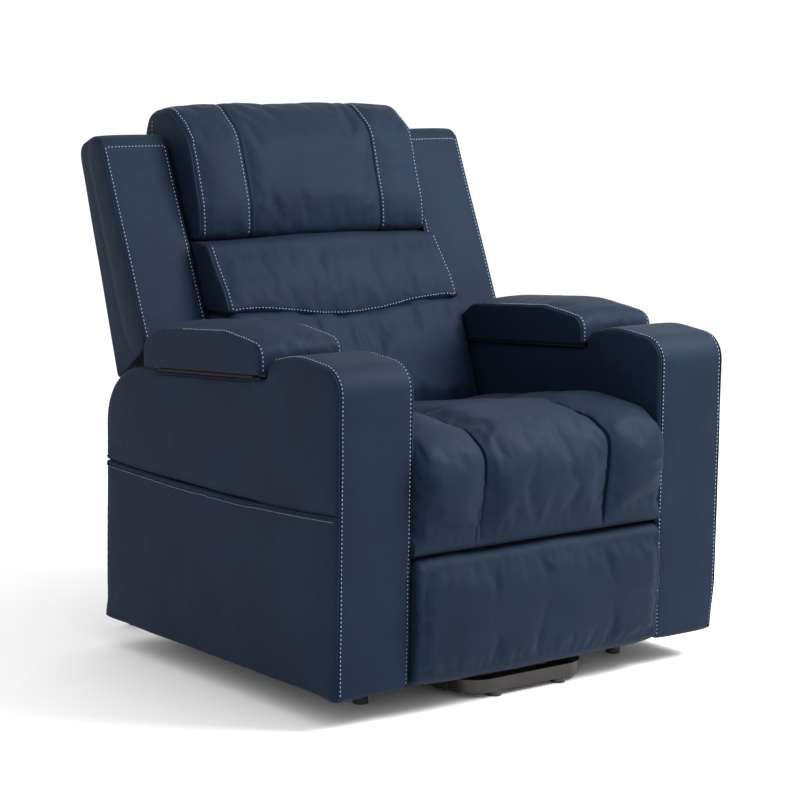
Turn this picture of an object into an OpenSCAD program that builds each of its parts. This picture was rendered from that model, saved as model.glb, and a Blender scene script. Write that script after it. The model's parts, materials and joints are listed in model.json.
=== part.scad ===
// Powered lift recliner chair, millimetres, +Z up, the sitter faces -Y.
// Side views are drawn as [y, z], with y counted back from the front of the arms
// and z up from the floor. place() moves all of it so that the origin is the
// middle of the chair's footprint.

/* [Arms] */
// Inner face of an arm, from the middle of the chair
arm_in = 303; // [300:1:310]
// Outer face of an arm, from the middle of the chair
arm_out = 459; // [450:1:470]
// Height of the arm's lower edge above the floor
hem = 58; // [52:1:62]
// Thickness of the arm's side panels
panel_t = 14; // [10:1:16]
// Thickness of the lid pads over the storage trays
lid_t = 74; // [60:1:80]

/* [Seat and back] */
// Half of the seat's width
seat_half = 297; // [290:1:298]
// Half of the width of the back cushions
back_half = 285; // [270:1:288]
// Half of the headrest's width
head_half = 280; // [270:1:288]
// Outer face of a wing, from the middle of the chair
wing_out = 438; // [420:1:445]

/* [Lift base] */
// Half of the width of the base's bent tube
base_half = 150; // [145:1:155]
// Height of the base tube's section
tube_h = 25; // [20:1:26]
// Height of the base's feet
foot_h = 10; // [8:1:12]

/* [Hidden] */

$fn = 48;
arc_steps = 6;            // points in a rounded corner
mid_depth = 430.5;        // from the front of the arms to the middle of the footprint
navy = "#2b3a55";
navy_dark = "#1d2a42";
steel = "#241c1a";
plastic = "#18181a";
wire = "#8a8d92";
wood = "#b08a5a";

// Pivots in the side view, [y, z]
base_pivot = [140, 75];        // lift arm on the base
guide_base = [90.8, 75.4];     // guide link on the base
lift_pivot = [560, 105];       // lift arm on the chair
guide_chair = [340, 100];      // guide link on the chair
lift_motor = [670, 62];        // lift actuator's hinge on the base
lift_lug = [175, 170];         // where the lift actuator pushes the lift arms
recline_pivot = [610, 345];    // backrest on the seat rails
recline_motor = [300, 232];    // recline actuator's hinge under the seat
recline_lug = [640, 250];      // foot of the backrest's lever
foot_pivot = [70, 265];        // footrest crank on the seat rails
foot_elbow = [103, 165];       // bend of the crank that clears the seat cushion's front
foot_knee = [86, 82];          // crank to footrest link
foot_panel = [53, 215];        // footrest link to footrest
foot_motor = [480, 232];       // footrest actuator's hinge under the seat
foot_lever = 50;               // radius of the crank's lever
foot_swing = 110;              // how far the crank turns
foot_lug = foot_pivot + foot_lever * [sin(foot_swing / 2), -cos(foot_swing / 2)];

pin_r = 5;                     // actuator pins
link_pin_r = 6;                // guide link pins
arm_pin_r = 8;                 // lift arm, recline and crank pins
running = 0.05;                // radial clearance of a running fit
open_hole = 2;                 // extra radius of the opened guide link pivot
rail_top = 286;                // top of the seat frame
rail_z = 266;                  // underside of the cross rails
rail_x = 292;                  // inner face of a seat rail
plate_t = 8;                   // thickness of links and seat rails
recline_x = 80;                // middle of the recline actuator
foot_x = -80;                  // middle of the footrest actuator
lug_t = 10;                    // thickness of a lug or lever
lug_pin = 13;                  // length of a lug's pin

// Inner faces of the lift's plates, from the base tube outward
bracket_t = 6;
arm_x = base_half + 8;         // lift arms
guide_x = base_half + 20;      // guide links
hanger_x = base_half + 32;     // lift hangers

// Inner faces of the footrest's plates
foot_t = 6;
foot_bracket_x = 252;
foot_link_x = 264;
crank_x = 276;

shelf_y = 214;                 // where the lid's shelf begins behind the hump
shelf_z = 588;                 // height of the shelf there
shelf_tilt = 4.5;              // the shelf falls to the rear
lid_len = 374;                 // length of a lid along the shelf
lid_gap = 1.5;                 // air under the lid
leaf_t = 3;                    // hinge leaf
board_t = 12;                  // plywood board in a lid
hinge_r = 4;                   // lid hinge knuckles
hinge_pin_r = 2;
hinge_x = arm_out + 0.5;
knuckle = 60;                  // length of a hinge knuckle
knuckle_start = 37;
lid_overhang = 15;             // the pad stands out past the arm on both sides

pocket_y = [212, 565];         // pocket mouth, front to rear
pocket_z = 360;                // top edge of the pocket's outer panel
pocket_mouth = 10;             // height of the pocket mouth
pocket_bottom = 195;

handset_y = 270;
button_r = 6;
button_travel = 1.5;

// Moves a part from the side view's own zero to the chair's origin
module place() { translate([0, -mid_depth, 0]) children(); }

// Puts a side view [y, z] upright between two x values
module plate(x0, x1) { translate([x0, 0, 0]) rotate([90, 0, 90]) linear_extrude(x1 - x0) children(); }

// A pin along X through a side view point
module pin(p, r, x0, x1) { translate([x0, p[0], p[1]]) rotate([0, 90, 0]) cylinder(h = x1 - x0, r = r); }

// The short pin in a lug that an actuator's fork straddles
module lug_pin_at(p, x) { pin(p, pin_r, x - lug_pin / 2, x + lug_pin / 2); }

module left() { children(); }
module right() { mirror([1, 0, 0]) children(); }
module both() {
    left() children();
    right() children();
}

function unit(v) = v / norm(v);

// Points of one rounded corner at b, between the edges to a and c
function corner(a, b, c, r) =
    let (u = unit(a - b), v = unit(c - b), half = acos(u * v) / 2)
    let (mid = b + unit(u + v) * r / sin(half))
    let (from = b + u * r / tan(half) - mid, to = b + v * r / tan(half) - mid)
    let (a0 = atan2(from[1], from[0]), turn = atan2(to[1], to[0]) - a0)
    let (swing = turn > 180 ? turn - 360 : turn < -180 ? turn + 360 : turn)
    [for (i = [0:arc_steps]) mid + r * [cos(a0 + swing * i / arc_steps), sin(a0 + swing * i / arc_steps)]];

// An outline of [y, z, radius] corners, each rounded by its radius
function outline(c) =
    let (n = len(c), flat = [for (k = c) [k[0], k[1]]])
    [for (i = [0:n - 1]) each c[i][2] == 0
        ? [flat[i]]
        : corner(flat[(i + n - 1) % n], flat[i], flat[(i + 1) % n], c[i][2])];

// A straight bar with round ends, in the side view
module bar(p, q, w) {
    a = atan2(q[1] - p[1], q[0] - p[0]);
    polygon(concat([for (t = [-90:22.5:90]) q + w / 2 * [cos(a + t), sin(a + t)]],
        [for (t = [90:22.5:270]) p + w / 2 * [cos(a + t), sin(a + t)]]));
}

module disc(p, r) { translate(p) circle(r); }

// Height of the shelf under a lid
function shelf(y) = shelf_z - (y - shelf_y) * tan(shelf_tilt);

// ---- lift base ----

// One straight hollow tube along X
module tube_x(x0, x1, y, w) {
    wall = 2;
    translate([x0, y, foot_h]) difference() {
        cube([x1 - x0, w, tube_h]);
        translate([-1, wall, wall]) cube([x1 - x0 + 2, w - 2 * wall, tube_h - 2 * wall]);
    }
}

nose_y = 16;
nose_w = 25;
bend_r = 55;
rear_tube_y = 823;

// Section of the bent tube, from x = r - w to x = r
module bend_section(r) {
    wall = 2;
    difference() {
        translate([r - nose_w, foot_h]) square([nose_w, tube_h]);
        translate([r - nose_w + wall, foot_h + wall]) square([nose_w - 2 * wall, tube_h - 2 * wall]);
    }
}

module base_u_tube() {
    bend_y = nose_y + bend_r;
    color(steel) place() {
        tube_x(bend_r - base_half, base_half - bend_r, nose_y, nose_w);
        both() {
            translate([base_half - bend_r, bend_y, 0])
                rotate([0, 0, -90]) rotate_extrude(angle = 90) bend_section(bend_r);
            translate([base_half - bend_r, rear_tube_y, 0])
                rotate([90, 0, 0]) linear_extrude(rear_tube_y - bend_y) bend_section(bend_r);
        }
    }
}

module base_cross_tube() {
    ear_x = 10;
    ear_t = 5;
    color(steel) place() {
        tube_x(nose_w - base_half, base_half - nose_w, 690, 25);
        both() plate(ear_x, ear_x + ear_t) difference() {
            union() {
                bar(lift_motor, [692, 46], 22);
                translate([690, 34]) square([25, 12]);
            }
            disc(lift_motor, pin_r - 1);
        }
        pin(lift_motor, pin_r, -ear_x - ear_t, ear_x + ear_t);
    }
}

module base_rear_tube() {
    color(steel) place() tube_x(-345, 345, rear_tube_y, 25);
}

module base_feet() {
    spots = [[base_half - 72, nose_y + nose_w / 2], [330, 836]];
    color(plastic) place() both() for (p = spots) translate([p[0], p[1], 0]) {
        cylinder(h = foot_h, r = 13.5);
    }
}

// Plate on the outside of the base tube: bearing of the lift arms and pin of the guide link
module base_bracket() {
    color(steel) place() {
        plate(base_half, base_half + bracket_t) difference() {
            polygon(outline([[72, foot_h, 0], [74, 90, 12], [110, 97, 12], [165, 97, 14], [190, foot_h, 0]]));
            disc(base_pivot, arm_pin_r + running);
        }
        pin(guide_base, link_pin_r, base_half + bracket_t - 1, guide_x + plate_t + 1);
    }
}
module base_bracket_left() { left() base_bracket(); }
module base_bracket_right() { right() base_bracket(); }

// ---- lift arms and guide links ----

// Torque tube with a shaft through both brackets, the two arms and the actuator's lug
module lift_arm_frame() {
    tube_r = 14;
    color(steel) place() {
        both() plate(arm_x, arm_x + plate_t) difference() {
            bar(base_pivot, lift_pivot, 36);
            disc(lift_pivot, arm_pin_r + running);
        }
        pin(base_pivot, tube_r, 1 - base_half, base_half - 1);
        pin(base_pivot, arm_pin_r, -arm_x - 1, arm_x + 1);
        plate(-lug_t / 2, lug_t / 2) bar(base_pivot, lift_lug, 24);
        lug_pin_at(lift_lug, 0);
    }
}

module guide_links() {
    color(steel) place() both() plate(guide_x, guide_x + plate_t) difference() {
        bar(guide_base, guide_chair, 26);
        disc(guide_base, link_pin_r + running);
        disc(guide_chair, link_pin_r + open_hole);
    }
}

// ---- actuators ----

// Turns local +Y from the hinge p towards q, at x
module aim(x, p, q) {
    translate([x, p[0], p[1]]) rotate([atan2(q[1] - p[1], q[0] - p[0]), 0, 0]) children();
}

housing = [52, 56, 44];        // gear housing
housing_start = 14;            // from the hinge to the housing
eye = [18, 11];                // width and radius of the rear eye
motor_r = 20;
motor_len = 46;
sleeve_r = 15;
rod_r = 9;
fork_depth = 38;               // from the fork's root to its eye

// Gear housing, motor and outer tube; the motor points to +X or -X
module actuator(x, p, q, sleeve_end, motor_dir) {
    aim(x, p, q) difference() {
        union() {
            translate([-eye[0] / 2, 0, -eye[1]]) cube([eye[0], housing_start + 2, 2 * eye[1]]);
            rotate([0, 90, 0]) cylinder(h = eye[0], r = eye[1], center = true);
            translate([-housing[0] / 2, housing_start, -housing[2] / 2]) cube(housing);
            translate([motor_dir * (housing[0] / 2 - 2), housing_start + housing[1] / 2, 0])
                rotate([0, motor_dir * 90, 0]) cylinder(h = motor_len, r = motor_r);
            rotate([-90, 0, 0]) translate([0, 0, housing_start + 30])
                cylinder(h = sleeve_end - housing_start - 30, r = sleeve_r);
        }
        rotate([0, 90, 0]) cylinder(h = 30, r = pin_r + running, center = true);
        rotate([-90, 0, 0]) translate([0, 0, housing_start + 34])
            cylinder(h = sleeve_end, r = rod_r + running);
    }
}

// Sliding rod with the fork that straddles a lug
module rod(x, p, q, rod_start) {
    reach = norm(q - p);
    aim(x, p, q) {
        rotate([-90, 0, 0]) translate([0, 0, rod_start])
            cylinder(h = reach - fork_depth - rod_start, r = rod_r);
        translate([-11, reach - fork_depth - 6, -10]) cube([22, 8, 20]);
        for (s = [-1, 1]) translate([s * 9, 0, 0]) difference() {
            union() {
                translate([-2, reach - fork_depth, -10]) cube([4, fork_depth, 20]);
                translate([0, reach, 0]) rotate([0, 90, 0]) cylinder(h = 4, r = 10, center = true);
            }
            translate([0, reach, 0]) rotate([0, 90, 0]) cylinder(h = 6, r = pin_r + running, center = true);
        }
    }
}

module lift_actuator() { color(plastic) place() actuator(0, lift_motor, lift_lug, 300, 1); }
module lift_rod() { color(wire) place() rod(0, lift_motor, lift_lug, 150); }
module recline_actuator() { color(plastic) place() actuator(recline_x, recline_motor, recline_lug, 205, -1); }
module recline_rod() { color(wire) place() rod(recline_x, recline_motor, recline_lug, 130); }
module footrest_actuator() { color(plastic) place() actuator(foot_x, foot_motor, foot_lug, 240, 1); }
module footrest_rod() { color(wire) place() rod(foot_x, foot_motor, foot_lug, 110); }

// ---- seat frame ----

// Side plate from the footrest pivot back to the recline pivot
module seat_rail() {
    low = 240;
    color(steel) place() plate(rail_x, rail_x + plate_t) difference() {
        union() {
            translate([45, low]) square([600, rail_top - low]);
            bar([606, 268], recline_pivot, 46);
        }
        disc(foot_pivot, arm_pin_r + running);
        disc(recline_pivot, arm_pin_r + running);
    }
}
module seat_rail_left() { left() seat_rail(); }
module seat_rail_right() { right() seat_rail(); }

// Cross rails as [y, height]; the middle one stays below the springs
cross_rails = [[108, 20], [290, 12], [505, 20]];
rail_w = 24;

// Two ears that hang from a cross rail and hold an actuator's pin
module hanger_ears(x, p, y) {
    ear_x = 12.5;
    ear_t = 5;
    for (s = [-1, 1]) plate(x + s * ear_x - ear_t / 2, x + s * ear_x + ear_t / 2) difference() {
        bar(p, [y, rail_z + 2], 20);
        translate([p[0] - 200, rail_z + 4]) square([400, 40]);
    }
    pin(p, pin_r, x - ear_x - ear_t / 2, x + ear_x + ear_t / 2);
}

module seat_cross_rails() {
    color(steel) place() {
        for (r = cross_rails) translate([-rail_x, r[0], rail_z]) cube([2 * rail_x, rail_w, r[1]]);
        hanger_ears(recline_x, recline_motor, cross_rails[1][0] + 12);
        hanger_ears(foot_x, foot_motor, cross_rails[2][0] + 10);
    }
}

// Plates under the cross rails that carry the lift arm and guide link pivots
module lift_hangers() {
    t = 6;
    color(steel) place() both() {
        plate(hanger_x, hanger_x + t) polygon(outline([[292, rail_z, 0], [316, 96, 20], [340, 78, 20],
            [560, 78, 22], [590, 100, 22], [529, rail_z, 0]]));
        pin(lift_pivot, arm_pin_r, arm_x - 1, hanger_x + 1);
        pin(guide_chair, link_pin_r, guide_x - 1, hanger_x + 1);
    }
}

// Flat zigzag springs from the front rail to the rear rail
module seat_springs() {
    wave = 28;
    turns = 12;
    y0 = cross_rails[0][0] + rail_w;
    step = (cross_rails[2][0] - y0) / turns;
    mid = [for (i = [0:turns]) [(i % 2 == 0 ? -1 : 1) * wave, y0 + i * step]];
    ribbon = 3;
    color(wire) place() for (x = [-216, -130, 130, 216]) translate([x, 0, 280]) linear_extrude(4)
        polygon(concat([for (p = mid) p + [-ribbon, 0]], [for (i = [turns:-1:0]) mid[i] + [ribbon, 0]]));
}

seat_front = -28;
seat_rear = 500;
seat_low = 289;
lip_low = 284;                 // bottom of the cushion's front lip

module seat_cushion() {
    color(navy) place() plate(-seat_half, seat_half) polygon(outline([[-12, lip_low, 10],
        [seat_front, 400, 150], [-27, 462, 35], [30, 497, 50], [140, 511, 160],
        [seat_rear, 453, 10], [seat_rear, seat_low, 0], [28, seat_low, 0], [22, lip_low, 0]]));
}

rear_in = 715;                 // rear panel of the chair's body
rear_out = 742;
rear_top = 325;
inlet = [200, rear_out, 150];
inlet_r = 10.8;

module rear_panel() {
    color(navy_dark) place() difference() {
        translate([-arm_in + 1, rear_in, hem]) cube([2 * arm_in - 2, rear_out - rear_in, rear_top - hem]);
        translate([inlet[0], rear_in - 1, inlet[2]]) rotate([-90, 0, 0]) cylinder(h = 40, r = inlet_r + 0.2);
    }
}

// Socket in the rear panel for the supply lead
module power_inlet() {
    color(plastic) place() translate(inlet) rotate([-90, 0, 0]) difference() {
        union() {
            translate([0, 0, -20]) cylinder(h = 21, r = inlet_r);
            cylinder(h = 4, r = 15);
        }
        translate([0, 0, -10]) cylinder(h = 20, r = 5);
    }
}

module control_box() {
    low = 208;
    color(plastic) place() difference() {
        translate([200, 350, low]) cube([74, 165, rail_z - low]);
        for (y = [385, 425, 465]) translate([198, y, low + 18]) cube([8, 22, 14]);
    }
}

module chair_glides() {
    color(plastic) place() both() for (y = [126, 700]) translate([310, y, 0]) {
        cylinder(h = 12, r = 14);
        cylinder(h = hem, r = 7);
    }
}

// ---- arms ----

hump = [[6, 625, 50], [137, 637, 190], [208, 619, 20]];
rear_shoulder = [742, 546.5, 115];

front_t = 25;                  // front strip
rear_t = 20;                   // rear strip
strip_low = 560;               // where the front strip ends behind the hump
// Inner line of the front strip, from behind the hump down to the hem
strip_inner = [[shelf_y, strip_low, 0], [shelf_y - front_t, strip_low, 0], [shelf_y - front_t, 601, 8],
    [137, 637 - front_t, 150], [32, 601, 24], [2 + front_t, hem, 0]];

// Side panel's outline behind the front strip; drop lowers the shelf for the hinge leaf
module arm_side(drop) {
    polygon(outline(concat([for (i = [5:-1:0]) strip_inner[i]],
        [[shelf_y, shelf_z - drop, 0], [600, shelf(600) - drop, 0], [600, shelf(600), 0]],
        [rear_shoulder, [rear_out, hem, 0]])));
}

module arm_outer() { plate(arm_out - panel_t, arm_out) arm_side(leaf_t / cos(shelf_tilt)); }

module arm_inner() {
    color(navy) place() plate(arm_in, arm_in + panel_t) arm_side(0);
}

// Strip across the whole arm that runs up the front and over the hump to the lid
module arm_front() {
    color(navy) place() plate(arm_in, arm_out) polygon(outline(concat(
        [[2, hem, 0]], hump, [[shelf_y, shelf_z, 0]], strip_inner)));
}

// Strip behind the tray that turns down the back of the arm
module arm_rear() {
    t = rear_t;
    color(navy) place() plate(arm_in + panel_t, arm_out - panel_t) polygon(outline([[562, shelf(562), 0],
        rear_shoulder, [rear_out, hem, 0], [rear_out - t, hem, 0],
        [rear_out - t, rear_shoulder[1] - t + 1, rear_shoulder[2] - t], [562, shelf(562) - t, 0]]));
}

// Local frame on the shelf: y runs back along it and z stands square to it
module on_shelf() { translate([0, shelf_y, shelf_z]) rotate([-shelf_tilt, 0, 0]) children(); }

tray_x = [arm_in + panel_t + 10, arm_out - panel_t - 10];
tray_y = [30, 330];
tray_depth = 126;

module tray() {
    wall = 4;
    rim_t = 6;
    rim_x = arm_in + panel_t + 0.5;
    color(plastic) place() on_shelf() difference() {
        union() {
            translate([rim_x, 3, -rim_t]) cube([arm_out - panel_t - 0.5 - rim_x, 342, rim_t]);
            translate([tray_x[0], tray_y[0], -tray_depth]) cube([tray_x[1] - tray_x[0],
                tray_y[1] - tray_y[0], tray_depth]);
        }
        translate([tray_x[0] + wall, tray_y[0] + wall, wall - tray_depth])
            cube([tray_x[1] - tray_x[0] - 2 * wall, tray_y[1] - tray_y[0] - 2 * wall, tray_depth]);
    }
}

module arm_outer_left() { color(navy) place() left() arm_outer(); }
module arm_inner_left() { left() arm_inner(); }
module arm_front_left() { left() arm_front(); }
module arm_rear_left() { left() arm_rear(); }
module tray_left() { left() tray(); }
module arm_inner_right() { right() arm_inner(); }
module arm_front_right() { right() arm_front(); }
module arm_rear_right() { right() arm_rear(); }
module tray_right() { right() tray(); }

// The right arm's outer side is split at the pocket mouth
module arm_outer_right() {
    color(navy) place() right() difference() {
        arm_outer();
        translate([arm_out - 50, -50, 0]) cube([100, 900, pocket_z]);
        translate([arm_out - 50, pocket_y[0], 0])
            cube([100, pocket_y[1] - pocket_y[0], pocket_z + pocket_mouth]);
    }
}

module pocket_panel_right() {
    color(navy) place() right() intersection() {
        arm_outer();
        translate([arm_out - 50, -50, 0]) cube([100, 900, pocket_z]);
    }
}

module pocket_liner() {
    depth = 30;
    t = 2;
    in = arm_out - panel_t - depth;
    color(navy_dark) place() right() {
        translate([in - t, pocket_y[0] + 2, pocket_bottom])
            cube([t, pocket_y[1] - pocket_y[0] - 4, pocket_z + 68 - pocket_bottom]);
        translate([in - 1, pocket_y[0] + 2, pocket_bottom])
            cube([depth + 1, pocket_y[1] - pocket_y[0] - 4, 4]);
    }
}

// ---- lids ----

knuckles = [for (i = [0:4]) knuckle_start + i * knuckle];

// A hinge knuckle along the shelf
module knuckle_at(y, r, extra) {
    translate([hinge_x, y - extra, lid_gap]) rotate([-90, 0, 0]) cylinder(h = knuckle + 2 * extra, r = r);
}

// Leaf on the arm with three knuckles and the pin
module lid_hinge() {
    color(steel) place() on_shelf() {
        difference() {
            union() {
                translate([arm_out - panel_t, 22, -leaf_t]) cube([panel_t, 330, leaf_t]);
                for (i = [0, 2, 4]) knuckle_at(knuckles[i], hinge_r, -0.5);
            }
            for (i = [1, 3]) knuckle_at(knuckles[i], hinge_r + 0.4, 0.2);
        }
        translate([hinge_x, knuckles[0], lid_gap]) rotate([-90, 0, 0])
            cylinder(h = 5 * knuckle, r = hinge_pin_r);
    }
}

// Plywood board with two knuckles that turn on the pin
module lid_board() {
    color(wood) place() on_shelf() difference() {
        union() {
            translate([arm_in - 8, 10, lid_gap]) cube([hinge_x - hinge_r - 1 - arm_in + 8, lid_len - 20, board_t]);
            for (i = [1, 3]) {
                knuckle_at(knuckles[i], hinge_r, -0.5);
                translate([hinge_x - 12, knuckles[i] + 0.5, lid_gap]) cube([12, knuckle - 1, 4]);
            }
        }
        translate([hinge_x, 0, lid_gap]) rotate([-90, 0, 0]) cylinder(h = lid_len, r = hinge_pin_r + running);
    }
}

// Padded top of the lid
module lid_pad() {
    low = lid_gap + board_t;
    color(navy) place() on_shelf() {
        plate(arm_in - lid_overhang, arm_out + lid_overhang) polygon(outline([[3, low, 0],
            [0, low + 43, 20], [110, lid_t + 5, 140], [330, lid_t + 3, 50],
            [lid_len, low + 35, 26], [lid_len, low, 0]]));
    }
}

module lid_hinge_left() { left() lid_hinge(); }
module lid_hinge_right() { right() lid_hinge(); }
module lid_board_left() { left() lid_board(); }
module lid_board_right() { right() lid_board(); }
module lid_pad_left() { left() lid_pad(); }
module lid_pad_right() { right() lid_pad(); }

// ---- handset, stowed in the pocket ----

handset_x = -(arm_out - panel_t - 4);      // face with the buttons
handset_z = [199, 349];
button_z = [235, 262, 289, 316];

module handset_body() {
    depth = 22;
    color(plastic) place() difference() {
        translate([handset_x, handset_y - 24, handset_z[0]]) cube([depth, 48, handset_z[1] - handset_z[0]]);
        for (z = button_z) translate([handset_x - 1, handset_y, z]) rotate([0, 90, 0]) cylinder(h = 9, r = button_r + 0.3);
    }
}

module button(i) {
    color("#c9ccd2") place() translate([handset_x - 2, handset_y, button_z[i]])
        rotate([0, 90, 0]) cylinder(h = 10 - 2 * button_travel, r = button_r);
}
module button_1() { button(0); }
module button_2() { button(1); }
module button_3() { button(2); }
module button_4() { button(3); }

// ---- backrest ----

upright_bend = [696, 470];
upright_top = [838, 930];

module back_frame() {
    torque_r = 14;
    in = 250;
    tube = 25;
    color(steel) place() {
        both() {
            plate(in, in + 22) {
                bar(recline_pivot, upright_bend, 26);
                bar(upright_bend, upright_top, 26);
            }
            pin(recline_pivot, arm_pin_r, in + 20, rail_x + plate_t + 2);
        }
        pin(recline_pivot, torque_r, -in - 1, in + 1);
        for (p = [[702, 520], [817, 892]]) translate([-in - 1, p[0], p[1]]) cube([2 * in + 2, tube, tube]);
        plate(recline_x - lug_t / 2, recline_x + lug_t / 2) bar(recline_pivot, recline_lug, 24);
        lug_pin_at(recline_lug, recline_x);
    }
}

// Rear line of the back, from the bottom up
back_line = [[735, 450], [755, 522], [816, 723], [882, 925]];

module back_rear_panel() {
    t = 16;
    color(navy_dark) place() plate(-290, 290) polygon(concat(back_line, [[889, 962]],
        [[889 - t, 962]], [for (i = [3:-1:0]) back_line[i] - [t, 0]]));
}

module wing() {
    color(navy) place() plate(291, wing_out) polygon(outline([[634, 588, 0], [640, 612, 12],
        [797, 985, 30], [878, 955, 24], [874, 925, 0], [808, 723, 0], [742, 517, 0]]));
}
module wing_left() { left() wing(); }
module wing_right() { right() wing(); }

module headrest() {
    color(navy) place() plate(-head_half, head_half) polygon(outline([[684, 778, 16], [693, 850, 120],
        [738, 988, 60], [800, 1041, 50], [882, 1027, 38], [889, 963, 0], [812, 963, 0], [757, 778, 0]]));
}

module lumbar_cushion() {
    color(navy) place() plate(-back_half, back_half) polygon(outline([[579, 641, 12],
        [604, 694, 90], [662, 775, 16], [754, 775, 0], [716, 641, 0]]));
}

module lower_back_cushion() {
    color(navy) place() plate(-back_half, back_half) polygon(outline([[520, 408, 14],
        [506, 455, 30], [573, 638, 12], [714, 638, 0], [628, 408, 0]]));
}

// ---- footrest ----

// Cranks, their cross tube and the lever that the actuator pushes
module footrest_crank() {
    tube_r = 12;
    color(steel) place() {
        both() {
            plate(crank_x, crank_x + foot_t) {
                bar(foot_pivot, foot_elbow, 18);
                bar(foot_elbow, foot_knee, 18);
            }
            pin(foot_pivot, arm_pin_r, crank_x + 4, rail_x + plate_t + 1);
            pin(foot_knee, pin_r, foot_link_x - 1, crank_x + 1);
        }
        pin(foot_pivot, tube_r, -crank_x - 1, crank_x + 1);
        plate(foot_x - lug_t / 2, foot_x + lug_t / 2) bar(foot_pivot, foot_lug, 22);
        lug_pin_at(foot_lug, foot_x);
    }
}

module footrest_links() {
    color(steel) place() both() plate(foot_link_x, foot_link_x + foot_t) difference() {
        bar(foot_knee, foot_panel, 18);
        disc(foot_knee, pin_r + running);
        disc(foot_panel, pin_r + running);
    }
}

board_in = 22;
board_out = 38;
foot_low = 58;
foot_top = 279;

module footrest_board() {
    color(wood) place() translate([-288, board_in, foot_low + 4])
        cube([576, board_out - board_in, foot_top - foot_low - 8]);
}

module footrest_pad() {
    color(navy) place() plate(-seat_half, seat_half) polygon(outline([[board_in, foot_low, 0],
        [-8, foot_low, 16], [-12, 170, 300], [-8, foot_top, 16], [board_in, foot_top, 0]]));
}

module footrest_brackets() {
    color(steel) place() both() {
        plate(foot_bracket_x, foot_bracket_x + foot_t) difference() {
            union() {
                translate([board_out, 175]) square([9, 80]);
                bar([board_out + 9, foot_panel[1]], foot_panel, 20);
            }
            translate([0, 150]) square([board_out, 130]);
        }
        pin(foot_panel, pin_r, foot_bracket_x + 5, foot_link_x + foot_t + 1);
    }
}

base_u_tube();
base_cross_tube();
base_rear_tube();
base_feet();
base_bracket_left();
base_bracket_right();
lift_arm_frame();
guide_links();
lift_actuator();
lift_rod();
seat_rail_left();
seat_rail_right();
seat_cross_rails();
lift_hangers();
seat_springs();
seat_cushion();
rear_panel();
power_inlet();
control_box();
chair_glides();
arm_outer_left();
arm_inner_left();
arm_front_left();
arm_rear_left();
tray_left();
arm_outer_right();
pocket_panel_right();
pocket_liner();
arm_inner_right();
arm_front_right();
arm_rear_right();
tray_right();
lid_hinge_left();
lid_hinge_right();
lid_board_left();
lid_pad_left();
lid_board_right();
lid_pad_right();
handset_body();
button_1();
button_2();
button_3();
button_4();
recline_actuator();
recline_rod();
back_frame();
back_rear_panel();
wing_left();
wing_right();
headrest();
lumbar_cushion();
lower_back_cushion();
footrest_actuator();
footrest_rod();
footrest_crank();
footrest_links();
footrest_board();
footrest_pad();
footrest_brackets();
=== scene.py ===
"""Looks of the lift recliner chair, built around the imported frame. Everything is in metres."""
import json
import math

import bmesh
import bpy
import numpy as np
from mathutils import Matrix, Vector, geometry
from mathutils.bvhtree import BVHTree


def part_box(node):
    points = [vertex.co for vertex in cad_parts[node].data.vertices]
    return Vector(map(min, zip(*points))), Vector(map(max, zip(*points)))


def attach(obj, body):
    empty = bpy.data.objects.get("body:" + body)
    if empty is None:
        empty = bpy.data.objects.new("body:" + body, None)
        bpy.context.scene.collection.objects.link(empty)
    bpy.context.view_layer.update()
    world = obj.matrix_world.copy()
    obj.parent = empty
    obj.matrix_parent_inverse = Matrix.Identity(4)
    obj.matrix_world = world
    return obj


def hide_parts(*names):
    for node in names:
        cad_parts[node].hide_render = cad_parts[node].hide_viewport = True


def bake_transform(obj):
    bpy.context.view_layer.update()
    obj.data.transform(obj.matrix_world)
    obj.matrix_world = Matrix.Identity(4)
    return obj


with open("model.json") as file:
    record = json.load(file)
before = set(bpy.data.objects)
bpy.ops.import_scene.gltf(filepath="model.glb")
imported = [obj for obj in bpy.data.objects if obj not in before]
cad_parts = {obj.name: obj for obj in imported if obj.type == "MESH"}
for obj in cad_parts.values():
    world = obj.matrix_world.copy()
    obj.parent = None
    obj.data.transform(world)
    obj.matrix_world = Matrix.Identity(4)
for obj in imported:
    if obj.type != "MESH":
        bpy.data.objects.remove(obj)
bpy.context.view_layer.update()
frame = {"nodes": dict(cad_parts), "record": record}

MM = 0.001
# Side views are [y, z] in millimetres, y counted back from the front of the arms.
ARM_FRONT_Y = 2
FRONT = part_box("arm_front_left")[0].y - ARM_FRONT_Y * MM

ARM_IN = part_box("arm_inner_left")[0].x / MM
ARM_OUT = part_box("arm_outer_left")[1].x / MM
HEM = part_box("arm_front_left")[0].z / MM - 4
PANEL = 14
SEAT_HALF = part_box("seat_cushion")[1].x / MM
BACK_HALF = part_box("lower_back_cushion")[1].x / MM
HEAD_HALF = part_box("headrest")[1].x / MM
WING_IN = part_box("wing_left")[0].x / MM
WING_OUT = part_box("wing_left")[1].x / MM
SHELF_Y, SHELF_Z, SHELF_TILT = 214, 588, math.radians(4.5)
ARM_REAR_Y = 742
CAMERA_PLACE = (-2.970, -3.293 + FRONT, 1.2364)
LAST_FRAME = 20


# ---------------------------------------------------------------- camera and light

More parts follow.
